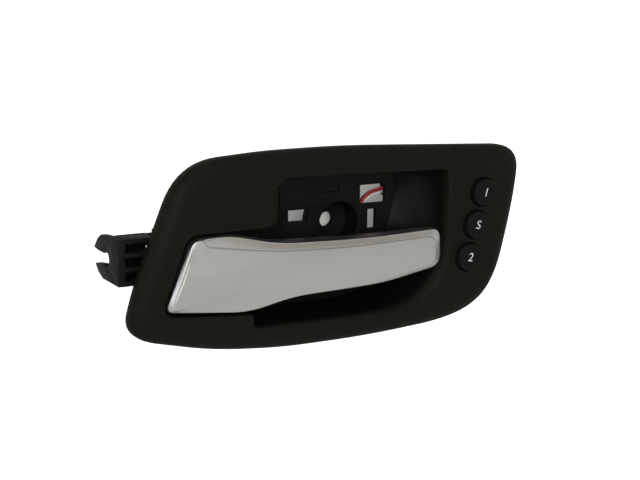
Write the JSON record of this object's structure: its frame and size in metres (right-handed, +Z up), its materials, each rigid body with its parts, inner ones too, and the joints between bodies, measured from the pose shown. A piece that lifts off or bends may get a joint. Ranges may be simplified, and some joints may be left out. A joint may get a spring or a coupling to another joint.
{
  "type": "car interior door handle",
  "caption": "Car interior door handle: dark bezel with a finger recess, a satin chrome pull lever on an upright pin, a cable bracket and a row of memory buttons.",
  "frame": {"origin": "centre of the fixing screw's hole, on the mounting plane at the back of the pocket", "axes": "+X runs right along the handle towards the buttons, +Y goes into the door, +Z is up"},
  "size_m": [0.1927, 0.0443, 0.0854],
  "materials": {
    "bezel": "satin, fine grained",
    "housing": "matte moulded",
    "lever_chrome": "satin plated",
    "arm": "matte moulded",
    "steel": "zinc plated",
    "spring_steel": "plain",
    "rubber": "matte",
    "button": "satin",
    "switch_case": "matte moulded",
    "silicone": "translucent matte",
    "board": "lacquered laminate",
    "lead_red": "insulation",
    "lead_white": "insulation",
    "lead_black": "insulation",
    "plug": "natural nylon"
  },
  "bodies": {
    "root": {"bezel": "bezel", "housing": "housing", "pivot_pin": "steel", "pin_clip": "spring_steel", "return_spring": "spring_steel", "bump_stop": "rubber", "switch_case": "switch_case", "dome_mat": "silicone", "circuit_board": "board", "switch_cover": "switch_case", "lead_grommet": "rubber", "lead_red": "lead_red", "lead_white": "lead_white", "lead_black": "lead_black", "lead_plug": "plug", "lead_clip": "housing", "case_screws": "steel", "housing_screws": "steel"},
    "lever": {"lever_shell": "lever_chrome", "lever_arm": "arm"},
    "button_1": {"button_1": "button"},
    "button_set": {"button_set": "button"},
    "button_2": {"button_2": "button"}
  },
  "joints": [
    {"name": "lever_pull", "type": "hinge", "parent": "root", "child": "lever", "pos_m": [-0.066, -0.032, 0], "axis": [0, 0, -1], "range_deg": [0, 32], "stiffness_Nm_per_rad": 0.15, "springref_deg": -22.92, "deforming": ["return_spring"]},
    {"name": "button_1_press", "type": "slide", "parent": "root", "child": "button_1", "axis": [0, 1, 0], "range_m": [0, 0.0015], "stiffness_N_per_m": 1500, "springref_m": -0.001, "deforming": ["dome_mat"]},
    {"name": "button_set_press", "type": "slide", "parent": "root", "child": "button_set", "axis": [0, 1, 0], "range_m": [0, 0.0015], "stiffness_N_per_m": 1500, "springref_m": -0.001, "deforming": ["dome_mat"]},
    {"name": "button_2_press", "type": "slide", "parent": "root", "child": "button_2", "axis": [0, 1, 0], "range_m": [0, 0.0015], "stiffness_N_per_m": 1500, "springref_m": -0.001, "deforming": ["dome_mat"]}
  ]
}
